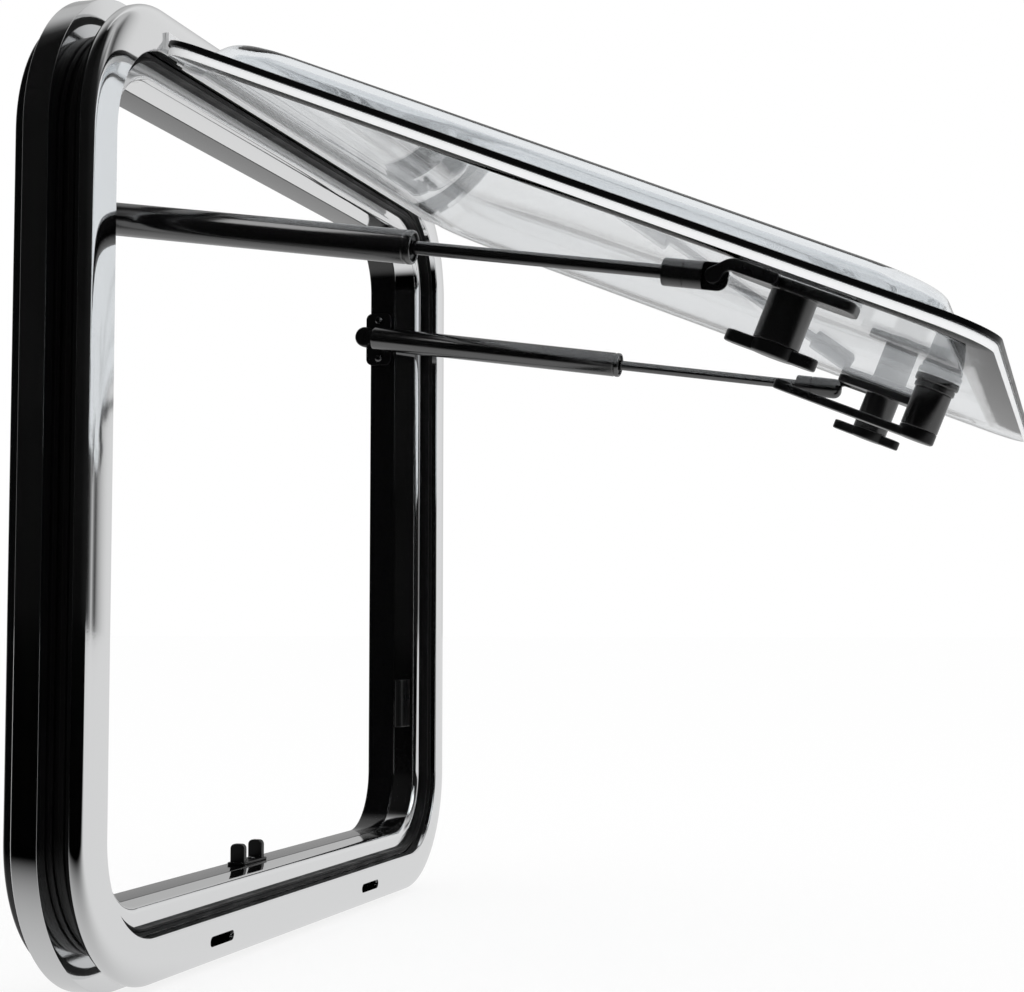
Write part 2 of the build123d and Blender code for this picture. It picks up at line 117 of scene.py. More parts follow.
def length(label, description, default):
    """A size in millimetres."""
    return bpy.props.FloatProperty(
        name=label, description=description + ", in millimetres", default=default, min=0.0)


def colour(label, description, default):
    return bpy.props.FloatVectorProperty(
        name=label, description=description, subtype="COLOR", size=3, default=default, min=0.0, max=1.0)


class FrameSizes(bpy.types.PropertyGroup):
    """The frame's rings."""
    width: length("Width", "Width of the flange", (FLANGE_HIGH.x - FLANGE_LOW.x) / MM)
    height: length("Height", "Height of the flange", (FLANGE_HIGH.z - FLANGE_LOW.z) / MM)
    corner: length("Corner radius", "Radius of the flange's corners", 70.0)
    corner_steps: bpy.props.IntProperty(
        name="Corner steps", description="Straight steps round each corner", default=40, min=4)
    reveal_in: length("Reveal inset", "From the flange's outer edge to the reveal", 35.0)
    wall: length("Wall", "Thickness of the wall that the frame clamps", 10.6)
    slot_spacing: length("Drain slot spacing", "Between the middles of the two drain slots", 212.0)


class SashSizes(bpy.types.PropertyGroup):
    """The two acrylic sheets."""
    width: length("Width", "Width of the sash", 446.0)
    top: length("Top edge", "From the hinge axis down to the sheets", 6.0)
    end: length("Bottom edge", "From the hinge axis down to the sheets' bottom edge", 400.6)
    corner: length("Corner radius", "Radius of the sheets' corners", 26.0)
    outer_sheet: length("Outer sheet", "Thickness of the domed outer sheet", 3.0)
    inner_sheet: length("Inner sheet", "Thickness of the flat inner sheet", 3.5)
    rim: length("Flat rim", "Flat border outside the dome", 12.0)
    rim_bottom: length("Flat rim at the bottom", "Flat border below the dome", 20.0)
    rise: length("Dome rise", "Height of the dome's shoulder", 12.9)
    crown: length("Crown", "How far the dome's middle stands above its shoulder", 1.6)


class StrutSizes(bpy.types.PropertyGroup):
    """The gas struts; "along" is measured from the foot's stud."""
    tube_radius: length("Cylinder radius", "Radius of the cylinder", 7.5)
    tube_end: length("Cylinder end", "End of the cylinder along the strut", 171.27)
    rod_radius: length("Rod radius", "Radius of the rod", 3.0)
    rod_start: length("Rod start", "Start of the rod inside the cylinder", 110.65)
    socket_start: length("Socket start", "Where the rod enters its end", 282.41)
    socket_length: length("Socket length", "Length of the rod's end", 28.0)
    pivot_down: length("Pivot", "From the hinge axis down to the arm's round tip", 281.7)
    arm_inner: length("Arm place", "From the middle to the arm's inner face", 203.0)


class WindowFinish(bpy.types.PropertyGroup):
    """Colours of the finishes."""
    aluminium: colour("Aluminium", "Polished aluminium of the frame", (0.86, 0.865, 0.87))
    black: colour("Black mouldings", "Latches, lever and trim", (0.0022, 0.0022, 0.0024))
    tint: colour("Outer sheet tint", "Tint of the domed outer sheet", (0.80, 0.825, 0.845))
    clear: colour("Inner sheet tint", "Tint of the flat inner sheet", (0.975, 0.978, 0.98))
    edge: colour("Inner sheet edge", "Pale sawn edge of the inner sheet", (0.93, 0.935, 0.94))


def sizes():
    return bpy.context.scene.window_frame


def sash_sizes():
    return bpy.context.scene.window_sash


def strut_sizes():
    return bpy.context.scene.window_struts


def middle_up():
    return (FLANGE_LOW.z + FLANGE_HIGH.z) / 2 / MM


def sash_matrix(x=0.0, down=0.0):
    """Places (x, down, off the inner face towards indoors), in millimetres, on the open sash."""
    turn = Matrix.Rotation(-OPEN_ANGLE, 4, "X")
    axes = Matrix(((1, 0, 0, 0), (0, 0, 1, 0), (0, -1, 0, 0), (0, 0, 0, 1)))
    to_face = Matrix.Translation((0, SASH_INSIDE_Y - HINGE_AT.y, 0))
    to_hinge = Matrix.Translation((0, HINGE_AT.y, HINGE_AT.z))
    return to_hinge @ turn @ to_face @ axes @ Matrix.Translation((x, down, 0))


def joint_matrix(name):
    """Like sash_matrix, from where a joint's axis meets the inner face."""
    place = sash_matrix().inverted() @ joint_at(name)
    return sash_matrix(place.x, place.y)


def strut_matrix(side):
    """Places (across, across, along) on an open strut, in millimetres from the foot's stud."""
    across = Vector((1, 0, 0))
    axes = Matrix((across, STRUT_RUN.cross(across), STRUT_RUN)).transposed().to_4x4()
    return Matrix.Translation((side * FOOT_AT.x, FOOT_AT.y, FOOT_AT.z)) @ axes


# Materials

def material(name, colour_name, roughness, metallic=0.0, ior=1.5):
    made = bpy.data.materials.new(name)
    made.use_nodes = True
    paint = (*getattr(bpy.context.scene.window_finish, colour_name), 1.0)
    made.diffuse_color = paint
    shader = made.node_tree.nodes["Principled BSDF"]
    for label, value in (("Base Color", paint), ("Roughness", roughness), ("Metallic", metallic),
                         ("IOR", ior)):
        shader.inputs[label].default_value = value
    return shader, made.node_tree


def object_noise(tree, scale, detail=3.0, stretch=(1, 1, 1)):
    nodes, links = tree.nodes, tree.links
    place = nodes.new("ShaderNodeTexCoord")
    mapping = nodes.new("ShaderNodeMapping")
    mapping.inputs["Scale"].default_value = stretch
    noise = nodes.new("ShaderNodeTexNoise")
    noise.inputs["Scale"].default_value = scale
    noise.inputs["Detail"].default_value = detail
    links.new(place.outputs["Object"], mapping.inputs["Vector"])
    links.new(mapping.outputs["Vector"], noise.inputs["Vector"])
    return noise.outputs["Fac"]


def spread(tree, value, start, end, low, high, kind="LINEAR"):
    """Carries a value's run from start to end over to low and high."""
    made = tree.nodes.new("ShaderNodeMapRange")
    made.interpolation_type = kind
    for label, number in zip(("From Min", "From Max", "To Min", "To Max"), (start, end, low, high)):
        made.inputs[label].default_value = number
    tree.links.new(value, made.inputs["Value"])
    return made.outputs["Result"]


def mottle(tree, shader, noise, low, high):
    """Roughness between two values; the noise hardly leaves the run from 0.3 to 0.7."""
    tree.links.new(spread(tree, noise, 0.3, 0.7, low, high), shader.inputs["Roughness"])


def add_bump(tree, shader, value, strength, distance):
    bump = tree.nodes.new("ShaderNodeBump")
    bump.inputs["Strength"].default_value = strength
    bump.inputs["Distance"].default_value = distance
    tree.links.new(value, bump.inputs["Height"])
    tree.links.new(bump.outputs["Normal"], shader.inputs["Normal"])


def polished_aluminium(name):
    shader, tree = material(name, "aluminium", roughness=0.07, metallic=1.0)
    mottle(tree, shader, object_noise(tree, scale=18.0), low=0.055, high=0.09)
    add_bump(tree, shader, object_noise(tree, scale=900.0, detail=2.0), strength=0.02, distance=0.0001)


def satin_aluminium(name):
    shader, tree = material(name, "aluminium", roughness=0.4, metallic=0.1)
    brushed = object_noise(tree, scale=900.0, detail=2.0, stretch=(0.02, 1, 1))
    mottle(tree, shader, brushed, low=0.34, high=0.46)
    add_bump(tree, shader, brushed, strength=0.1, distance=0.0001)


# Roughness, grain, refractive index and level of reflection of each black finish
BLACKS = {
    "gloss_black": (0.10, 0.01, 1.65, 0.5),
    "latch_black": (0.3, 0.06, 1.5, 0.3),
    "post_black": (0.22, 0.03, 1.85, 0.5),
    "sleeve_black": (0.42, 0.08, 1.6, 0.5),
    "rubber_black": (0.5, 0.1, 1.5, 0.2),
    "strut_black": (0.17, 0.01, 2.1, 0.5),
    # painted shade: the domed sheet's edge is made black to stand in for the dark that the edge reflects
    "painted_shade_edge": (0.3, 0.02, 1.5, 0.15),
}


def moulded_black(name):
    roughness, grain, ior, level = BLACKS[name]
    shader, tree = material(name, "black", roughness, 0.0, ior)
    shader.inputs["Specular IOR Level"].default_value = level
    mottle(tree, shader, object_noise(tree, scale=60.0), roughness * 0.85, roughness * 1.15)
    add_bump(tree, shader, object_noise(tree, scale=2600.0, detail=2.0), grain, distance=0.0001)


# Tint, level of reflection, ripple and refractive index of each clear sheet
SHEETS = {
    "acrylic_tinted": ("tint", 0.12, 0.12, 1.3),
    "acrylic_clear": ("clear", 0.0, 0.02, 1.06),
}


def acrylic(name):
    """Clear sheet; the ripple is the faint waviness of sheet that was blown warm."""
    tint, level, ripple, ior = SHEETS[name]
    shader, tree = material(name, tint, 0.0, 0.0, ior)
    shader.inputs["Transmission Weight"].default_value = 1.0
    shader.inputs["Specular IOR Level"].default_value = level
    add_bump(tree, shader, object_noise(tree, scale=14.0, detail=1.0), ripple, distance=0.0008)


def sawn_edge(name):
    shader, tree = material(name, "edge", roughness=0.5)
    add_bump(tree, shader, object_noise(tree, scale=1500.0, detail=2.0), strength=0.1, distance=0.0001)


MAKERS = {"polished_aluminium": polished_aluminium, "satin_aluminium": satin_aluminium,
          "edge_white": sawn_edge}
MAKERS.update(dict.fromkeys(BLACKS, moulded_black))
MAKERS.update(dict.fromkeys(SHEETS, acrylic))


@cache
def finish(name):
    MAKERS[name](name)
    return bpy.data.materials[name]


# Mesh helpers

def smooth(mesh, angle):
    for polygon in mesh.polygons:
        polygon.use_smooth = True
    mesh.set_sharp_from_angle(angle=math.radians(angle))


def placed(name, data):
    """A new object in the scene."""
    made = bpy.data.objects.new(name, data)
    bpy.context.scene.collection.objects.link(made)
    return made


def piece(name, mesh, body, look, node=None, angle=35.0, edge_name=None):
    """Makes a piece of a mesh that is already in place and in metres."""
    smooth(mesh, angle)
    mesh.name = name
    made = placed(name, mesh)
    if not mesh.materials:
        mesh.materials.append(finish(look))
    if edge_name:
        mesh.materials.append(finish(edge_name))
    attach(made, body)
    if node:
        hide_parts(node)
    return made


def mesh_from(verts, faces, matrix, face_finishes=None):
    mesh = bpy.data.meshes.new("mesh")
    mesh.from_pydata([matrix @ Vector(v) * MM for v in verts], [], faces)
    if face_finishes:
        for polygon, index in zip(mesh.polygons, face_finishes):
            polygon.material_index = index
    work = bmesh.new()
    work.from_mesh(mesh)
    bmesh.ops.recalc_face_normals(work, faces=work.faces)
    work.to_mesh(mesh)
    work.free()
    return mesh


def rounded(points, radii, steps):
    """Rounds the numbered corners of a closed section."""
    made = []
    count = len(points)
    for index, point in enumerate(points):
        if index not in radii:
            made.append(point)
            continue
        here = Vector(point)
        before = (Vector(points[index - 1]) - here).normalized()
        after = (Vector(points[(index + 1) % count]) - here).normalized()
        half = before.angle(after) / 2
        radius = radii[index]
        reach = radius / math.tan(half)
        centre = here + (before + after).normalized() * radius / math.sin(half)
        start, end = here + before * reach - centre, here + after * reach - centre
        turn = start.angle_signed(end)
        for step in range(steps + 1):
            angle = -turn * step / steps
            made.append(tuple(centre + Matrix.Rotation(angle, 2) @ start))
    return made


def socket(sockets, label):
    return sockets[int(label)] if label.isdigit() else sockets[label]


def wire(tree, wires):
    """Links a tree's named nodes as "node.Output > node.Input"; a number counts the sockets from 0."""
    for each in wires:
        (source, given), (target, taken) = (end.split(".") for end in each.split(" > "))
        tree.links.new(socket(tree.nodes[source].outputs, given), socket(tree.nodes[target].inputs, taken))


def add_nodes(tree, prefix, kinds):
    for name, kind in kinds.items():
        tree.nodes.new(prefix + kind).name = name


def geometry_tree(name, inputs, kinds):
    """Geometry Nodes, still unlinked before the last ones, which make the result real and coat it."""
    tree = bpy.data.node_groups.new(name, "GeometryNodeTree")
    tree.interface.new_socket("Geometry", in_out="OUTPUT", socket_type="NodeSocketGeometry")
    for label, kind in (*inputs.items(), ("Material", "Material")):
        tree.interface.new_socket(label, in_out="INPUT", socket_type="NodeSocket" + kind)
    add_nodes(tree, "", {**kinds, "given": "NodeGroupInput", "real": "GeometryNodeRealizeInstances",
                     "coat": "GeometryNodeSetMaterial", "out": "NodeGroupOutput"})
    wire(tree, ("real.Geometry > coat.Geometry", "given.Material > coat.Material",
                "coat.Geometry > out.Geometry"))
    return tree


@cache
def ring_tree():
    """Carries a section round the window's rounded rectangle."""
    tree = geometry_tree(
        "Section round the window",
        {"Width": "Float", "Height": "Float", "Corner radius": "Float", "Middle": "Float",
         "Corner steps": "Int", "Section": "Object"},
        {"outline": "GeometryNodeCurvePrimitiveQuadrilateral", "corners": "GeometryNodeFilletCurve",
         "section": "GeometryNodeObjectInfo", "carry": "GeometryNodeCurveToMesh",
         "stand": "GeometryNodeTransform", "lift": "ShaderNodeCombineXYZ"})
    tree.nodes["corners"].mode = "POLY"
    tree.nodes["stand"].inputs["Rotation"].default_value = (math.radians(90), 0, 0)
    wire(tree, ("given.Width > outline.Width", "given.Height > outline.Height",
                "outline.Curve > corners.Curve", "given.Corner radius > corners.Radius",
                "given.Corner steps > corners.Count", "given.Section > section.Object",
                "corners.Curve > carry.Curve", "section.Geometry > carry.Profile Curve",
                "carry.Mesh > stand.Geometry", "given.Middle > lift.Z", "lift.Vector > stand.Translation",
                "stand.Geometry > real.Geometry"))
    return tree


@cache
def screw_tree():
    """Sets a screw head on each point."""
    tree = geometry_tree("Screw heads on points", {"Points": "Object", "Head": "Object"}, {
        "spots": "GeometryNodeObjectInfo", "head": "GeometryNodeObjectInfo",
        "place": "GeometryNodeInstanceOnPoints"})
    wire(tree, ("given.Points > spots.Object", "given.Head > head.Object", "spots.Geometry > place.Points",
                "head.Geometry > place.Instance", "place.Instances > real.Geometry"))
    return tree


def evaluated_mesh(host):
    bpy.context.view_layer.update()
    return bpy.data.meshes.new_from_object(host.evaluated_get(bpy.context.evaluated_depsgraph_get()))


def tree_mesh(tree, values):
    """The mesh that a Geometry Nodes tree makes from its named inputs."""
    host = placed("host", bpy.data.meshes.new("host"))
    modifier = host.modifiers.new("made", "NODES")
    modifier.node_group = tree
    identifiers = {s.name: s.identifier for s in tree.interface.items_tree if s.in_out == "INPUT"}
    for label, value in values.items():
        modifier[identifiers[label]] = value
    mesh = evaluated_mesh(host)
    bpy.data.objects.remove(host)
    return mesh


def ring_mesh(section, look):
    """A section of (in, Y) points, in millimetres, carried round the flange's outer edge."""
    curve = bpy.data.curves.new("section", "CURVE")
    curve.dimensions = "3D"
    spline = curve.splines.new("POLY")
    spline.points.add(len(section) - 1)
    for point, (inwards, back) in zip(spline.points, section):
        point.co = (-inwards * MM, back * MM, 0, 1)
    spline.use_cyclic_u = True
    host = placed("section", curve)
    own = sizes()
    mesh = tree_mesh(ring_tree(), {
        "Width": own.width * MM, "Height": own.height * MM, "Corner radius": own.corner * MM,
        "Middle": middle_up() * MM, "Corner steps": own.corner_steps, "Section": host,
        "Material": finish(look)})
    bpy.data.objects.remove(host)
    work = bmesh.new()
    work.from_mesh(mesh)
    if work.calc_volume(signed=True) < 0:
        bmesh.ops.reverse_faces(work, faces=work.faces)
    work.to_mesh(mesh)
    work.free()
    return mesh


def ring(name, section, look, node, angle=35.0):
    return piece(name, ring_mesh(section, look), "frame", look, node, angle)


def turned_mesh(profile, matrix, steps, closed=False):
    """A profile of (radius, along) points turned about the third axis; a closed one makes a ring."""
    verts, faces, rows = [], [], []
    for radius, along in profile:
        if radius < 1e-6:
            rows.append([len(verts)])
            verts.append((0, 0, along))
        else:
            rows.append(list(range(len(verts), len(verts) + steps)))
            turns = [math.tau * s / steps for s in range(steps)]
            verts += [(radius * math.cos(turn), radius * math.sin(turn), along) for turn in turns]
    for low, high in zip(rows, rows[1:] + rows[:1] if closed else rows[1:]):
        for s in range(steps):
            quad = [low[s % len(low)], low[(s + 1) % len(low)],
                    high[(s + 1) % len(high)], high[s % len(high)]]
            quad = list(dict.fromkeys(quad))
            if len(quad) > 2:
                faces.append(quad)
    return mesh_from(verts, faces, matrix)


def slab_mesh(outline, low, high, matrix):
    """A flat outline of (x, y) points made solid between two heights."""
    count = len(outline)
    verts = [(x, y, low) for x, y in outline] + [(x, y, high) for x, y in outline]
    faces = [list(range(count))[::-1], list(range(count, 2 * count))]
    faces += [[s, (s + 1) % count, count + (s + 1) % count, count + s] for s in range(count)]
    return mesh_from(verts, faces, matrix)


def joined(*meshes):
    """Several closed meshes in one."""
    work = bmesh.new()
    for mesh in meshes:
        work.from_mesh(mesh)
        bpy.data.meshes.remove(mesh)
    made = bpy.data.meshes.new("mesh")
    work.to_mesh(made)
    work.free()
    return made


def head_mesh(radius, turn):
    """A low screw head with a hexagonal recess, standing on the third axis of a turn."""
    steps, rows = 24, ((1.0, 0.0, False), (1.0, 0.18, False), (0.8, 0.4, False), (0.46, 0.5, True),
                       (0.46, 0.12, True), (0.0, 0.12, False))
    verts, faces = [], []
    for share, height, hexagon in rows:
        for s in range(steps if share else 1):
            angle = math.tau * s / steps
            flat = math.cos((angle + math.pi / 6) % (math.pi / 3) - math.pi / 6) if hexagon else 1.0
            reach = radius * share * (0.87 / flat if hexagon else 1.0)
            verts.append((reach * math.cos(angle), reach * math.sin(angle), radius * height))
    for row in range(len(rows) - 2):
        for s in range(steps):
            a, b = row * steps + s, row * steps + (s + 1) % steps
            faces.append([a, b, b + steps, a + steps])
    last = (len(rows) - 2) * steps
    faces += [[last + s, last + (s + 1) % steps, len(verts) - 1] for s in range(steps)]
    faces.append(list(range(steps))[::-1])
    return mesh_from(verts, faces, turn)


def turned(name, profile, matrix, body, look, node, steps=96, closed=False):
    piece(name, turned_mesh(profile, matrix, steps, closed), body, look, node)


def screws(name, spots, place, radius):
    """Screw heads on the frame at (x, y, z) spots in a place's own axes, standing on its third axis."""
    points = bpy.data.meshes.new("spots")
    points.from_pydata([place @ Vector(spot) * MM for spot in spots], [], [])
    hosts = [placed("host", mesh) for mesh in (points, head_mesh(radius, place.to_3x3().to_4x4()))]
    mesh = tree_mesh(screw_tree(), {"Points": hosts[0], "Head": hosts[1], "Material": finish("strut_black")})
    for host in hosts:
        bpy.data.objects.remove(host)
    piece(name, mesh, "frame", "strut_black")


def moulded(name, mesh, body, node, width, angle=40.0):
    """A matt black moulding with rounded edges."""
    bevel = piece(name, mesh, body, "latch_black", node).modifiers.new("rounded edges", "BEVEL")
    bevel.width = width * MM
    bevel.segments = 3
    bevel.limit_method = "ANGLE"
    bevel.angle_limit = math.radians(angle)


def arc(centre, radius, start, end, steps=12):
    return [(centre[0] + radius * math.cos(math.radians(start + (end - start) * s / steps)),
             centre[1] + radius * math.sin(math.radians(start + (end - start) * s / steps)))
            for s in range(steps + 1)]


def bar(reach, wide, tip_wide):
    """A bar along -y from a round wide end at the centre to a narrower round tip."""
    big, small = wide / 2, tip_wide / 2
    lean = math.degrees(math.asin((big - small) / reach))
    return (arc((0, 0), big, -lean, 180 + lean, 24) +
            arc((0, -reach), small, 180 + lean, 360 - lean, 16))


def box_outline(x0, x1, y0, y1, radius, steps):
    return rounded([(x0, y0), (x1, y0), (x1, y1), (x0, y1)], dict.fromkeys(range(4), radius), steps)


def bezier(points, steps):
    """A cubic curve through (in, Y) control points."""
    made = []
    for step in range(steps + 1):
        t = step / steps
        shares = ((1 - t) ** 3, 3 * t * (1 - t) ** 2, 3 * t * t * (1 - t), t ** 3)
        made.append(tuple(
            sum(share * point[axis] for share, point in zip(shares, points)) for axis in (0, 1)))
    return made


class CARAVAN_OT_outer_frame(bpy.types.Operator):
    """The polished frame: a convex flange, a recess for the seal and the reveal, with two drain slots"""
    bl_idname = "caravan.outer_frame"
    bl_label = "Outer frame"

    def execute(self, context):
        reveal, reveal_back = sizes().reveal_in, 14.0
        web_in, web_y, flat_in = 19.5, -8.0, 20.9
        section = [(1.3, RECESS_Y), (0.5, -2.4), (0.1, -3.1)]
        section += bezier([(0.0, -5.0), (0.0, -9.4), (5.0, FACE_Y), (flat_in, FACE_Y)], 28)
        section += rounded([
            (CREST_IN, FACE_Y), (CREST_IN, RECESS_Y), (reveal, RECESS_Y), (reveal, reveal_back),
            (reveal - METAL, reveal_back), (reveal - METAL, NECK_Y), (NECK_IN, NECK_Y), (NECK_IN, 0.0),
            (6.0, 0.0), (6.0, RECESS_Y), (web_in, RECESS_Y), (web_in, web_y), (NECK_IN, web_y), (4.0, -7.0),
            (2.0, -4.5), (2.0, RECESS_Y),
        ], {0: 0.5, 2: 3.4, 3: 0.4}, 8)
        self.cut_slots(ring("frame_flange", section, "polished_aluminium", "outer_frame", 30.0))
        return {"FINISHED"}

    def cut_slots(self, made):
        up_from_edge, half_length, radius, front, behind = 10.5, 11.5, 2.5, -14.0, -5.0
        low = middle_up() - sizes().height / 2 + up_from_edge
        for side in (-1, 1):
            middle = side * sizes().slot_spacing / 2
            outline = arc((middle + half_length, low), radius, -90, 90)
            outline += arc((middle - half_length, low), radius, 90, 270)
            cutter = placed("cutter", slab_mesh(outline, front, behind, FACING_Y))
            cut = made.modifiers.new("slot", "BOOLEAN")
            cut.operation, cut.solver, cut.object = "DIFFERENCE", "EXACT", cutter
            mesh = evaluated_mesh(made)
            made.modifiers.clear()
            made.data = mesh
            bpy.data.objects.remove(cutter)
        smooth(made.data, 30.0)


class CARAVAN_OT_sleeve(bpy.types.Operator):
    """The black sleeve that fills the cut-out in the wall, with two grooves round it"""
    bl_idname = "caravan.sleeve"
    bl_label = "Neck sleeve"

    def execute(self, context):
        wall = sizes().wall
        inside, groove = 17.0, 13.8
        section = rounded([
            (inside, NECK_Y), (NECK_IN, NECK_Y), (NECK_IN, 4.1), (groove, 4.3), (groove, 6.3), (NECK_IN, 6.5),
            (NECK_IN, wall - 1.6), (groove, wall - 1.4), (groove, wall), (inside, wall),
        ], {1: 0.4, 2: 0.6, 3: 0.4, 4: 0.4, 5: 0.6, 6: 0.6, 7: 0.4}, 5)
        ring("neck_sleeve_ribbed", section, "sleeve_black", "neck_sleeve")
        return {"FINISHED"}


class CARAVAN_OT_clamp_and_trim(bpy.types.Operator):
    """The clamp ring on the inside of the wall and the trim that lines the reveal"""
    bl_idname = "caravan.clamp_and_trim"
    bl_label = "Clamp ring and trim"

    def execute(self, context):
        reveal, wall = sizes().reveal_in, sizes().wall
        ring_out, thick = -3.5, 2.0
        back = wall + 12.6
        section = rounded([
            (ring_out, wall), (reveal - METAL, wall), (reveal - METAL, wall + thick),
            (ring_out + thick, wall + thick), (ring_out + thick, back - thick), (6.5, back - thick),
            (6.5, back), (ring_out, back),
        ], {0: 0.4, 7: 0.8}, 5)
        ring("clamp_ring_band", section, "polished_aluminium", "clamp_ring")
        front, end, trim_out = 14.4, back + 8.3, 4.0
        section = rounded([
            (trim_out, back), (trim_out, end), (reveal, end), (reveal, front), (reveal - METAL, front),
            (reveal - METAL, end - METAL), (trim_out + METAL, end - METAL), (trim_out + METAL, back),
        ], {1: 2.2, 2: 1.2, 3: 0.4}, 8)
        ring("inner_trim_band", section, "gloss_black", "inner_trim")
        return {"FINISHED"}


class CARAVAN_OT_seal(bpy.types.Operator):
    """The rubber seal in the recess, with a lip that leans towards the reveal"""
    bl_idname = "caravan.seal"
    bl_label = "Sash seal"

    def execute(self, context):
        foot_in, lip_in = 21.9, 25.0
        section = rounded([
            (foot_in, RECESS_Y), (lip_in, RECESS_Y), (lip_in, -3.4), (25.9, -5.6), (lip_in, -6.0),
            (23.8, -3.9), (foot_in, -3.6),
        ], {2: 0.8, 3: 0.4, 4: 0.4, 5: 0.8, 6: 0.4}, 4)
        ring("sash_seal_lip", section, "rubber_black", "sash_seal")
        return {"FINISHED"}


def contour(inset, radius, off, shorter=0.0, steps=14):
    """A rounded rectangle on the sash, shorter still at the bottom, as (x, down, off) points."""
    own = sash_sizes()
    half_x = own.width / 2 - inset
    top, end = own.top + inset, own.end - inset - shorter
    points = []
    for x, down, start in ((half_x - radius, top + radius, -90), (half_x - radius, end - radius, 0),
                           (-half_x + radius, end - radius, 90), (-half_x + radius, top + radius, 180)):
        points += [(px, py, off) for px, py in arc((x, down), radius, start, start + 90, steps)]
    return points


def lofted_mesh(levels, edge_levels):
    """Joins contours into a closed sheet; the faces between the numbered levels get the edge finish."""
    verts, faces, kinds = [], [], []
    for level in levels:
        verts += contour(*level)
    count = len(verts) // len(levels)
    for row in range(len(levels) - 1):
        for s in range(count):
            a, b = row * count + s, row * count + (s + 1) % count
            faces.append([a, b, b + count, a + count])
            kinds.append(1 if row in edge_levels else 0)
    for row in (0, len(levels) - 1):
        faces.append(list(range(row * count, (row + 1) * count)))
        kinds.append(0)
    return mesh_from(verts, faces, sash_matrix(), kinds)


class CARAVAN_OT_panes(bpy.types.Operator):
    """The domed outer sheet and the flat inner sheet of the sash"""
    bl_idname = "caravan.panes"
    bl_label = "Acrylic sheets"

    def dome_profile(self):
        """(reach from the dome's foot, height) of its flank, shoulder and crown."""
        own = sash_sizes()
        slope, foot, shoulder, crown_run = math.radians(58), 3.0, 13.0, 110.0
        turns = [slope * s / 5 for s in range(6)]
        profile = [(foot * math.sin(turn), foot * (1 - math.cos(turn))) for turn in turns]
        x, h = profile[-1]
        flank = (own.rise - h - shoulder * (1 - math.cos(slope))) / math.sin(slope)
        x, h = x + flank * math.cos(slope), h + flank * math.sin(slope)
        turns = [slope * (1 - s / 9) for s in range(10)]
        profile += [(x + shoulder * (math.sin(slope) - math.sin(turn)),
                     h + shoulder * (math.cos(turn) - math.cos(slope))) for turn in turns]
        last = profile[-1][0]
        for share in (0.06, 0.14, 0.25, 0.38, 0.52, 0.68, 0.84, 1.0):
            lift = own.crown * math.sin(share * math.pi / 2)
            profile.append((last + share * crown_run, own.rise + lift))
        return profile

    def dome_levels(self, face, shift):
        """Contours of the dome from its foot to its crown, above a face that lies off the inner one."""
        own = sash_sizes()
        foot_radius, more_radius, radius_run = 22.0, 26.0, 60.0
        levels = []
        for reach, height in self.dome_profile():
            radius = foot_radius + more_radius * min(1.0, reach / radius_run)
            levels.append((own.rim + shift + reach, radius, face - height, own.rim_bottom - own.rim))
        return levels

    def outer_levels(self):
        """The inside's contours from the crown out, then the outside's back in, and the first edge level."""
        own = sash_sizes()
        corner, back, front = own.corner, -own.inner_sheet - 0.15, -own.inner_sheet - own.outer_sheet
        outside = [(0.0, corner, back - 0.4), (0.0, corner, front + 0.5), (0.12, corner, front + 0.2),
                   (0.4, corner - 0.1, front), (6.0, corner - 1.5, front)] + self.dome_levels(front, 0.0)
        inside = [(0.4, corner - 0.1, back), (6.0, corner - 1.5, back)] + self.dome_levels(back, 1.6)
        return inside[::-1] + outside, len(inside) - 1

    def inner_levels(self):
        own = sash_sizes()
        inset, corner, front = 0.8, own.corner - 0.2, -own.inner_sheet
        return [(inset + 20, corner - 4, 0.0), (inset + 0.5, corner, 0.0), (inset + 0.15, corner, -0.15),
                (inset, corner, -0.5), (inset, corner, front + 0.4), (inset + 0.4, corner, front),
                (inset + 20, corner - 4, front)]

    def execute(self, context):
        levels, first = self.outer_levels()
        mesh = lofted_mesh(levels, range(first, first + 3))
        # the domed sheet's edge gets a black finish that is painted shade, for the dark that its edge
        # reflects
        piece("pane_domed", mesh, "sash", "acrylic_tinted", "outer_pane", 40.0, "painted_shade_edge")
        mesh = lofted_mesh(self.inner_levels(), range(1, 5))
        piece("pane_flat", mesh, "sash", "acrylic_clear", "inner_pane", 40.0, "edge_white")
        return {"FINISHED"}


class CARAVAN_OT_latches(bpy.types.Operator):
    """The side latches: plate, post and turning T-bar"""
    bl_idname = "caravan.latches"
    bl_label = "Side latches"

    def execute(self, context):
        plate_top, tip, half_width, half_top = 4.7, 6.0, 12.0, 6.0
        for name, side in SIDES:
            matrix = joint_matrix("hook_turn_" + name)
            outline = arc((0, -23.0), tip, 195, 345, 10) + [(half_width, -3.0)]
            outline += arc((half_top, 21.0), tip, 0, 90, 6) + arc((-half_top, 21.0), tip, 90, 180, 6)
            outline += [(-half_width, -3.0)]
            moulded("latch_plate_moulded_" + name, slab_mesh(outline, 0.0, plate_top, matrix), "sash",
                    "latch_plate_" + name, 0.9)
            profile = [(0, plate_top), (10.9, plate_top), (10.4, 5.1), (10.2, 5.8), (10.2, 26.2),
                       (10.0, 26.4), (0, 26.4)]
            turned("latch_post_moulded_" + name, profile, matrix, "sash", "post_black", "latch_post_" + name)
            outline = arc((0, -16.0), 5.5, 180, 360, 14) + arc((0, 14.0), 5.5, 0, 180, 14)
            boss = [(0, 26.7), (10.0, 26.7), (10.2, 26.9), (10.2, 30.9), (9.9, 31.6), (9.2, 32.0), (0, 32.0)]
            mesh = joined(slab_mesh(outline, 26.75, 31.95, matrix), turned_mesh(boss, matrix, 96))
            moulded("latch_hook_moulded_" + name, mesh, "hook_" + name, "latch_hook_" + name, 0.8, 60.0)
        return {"FINISHED"}


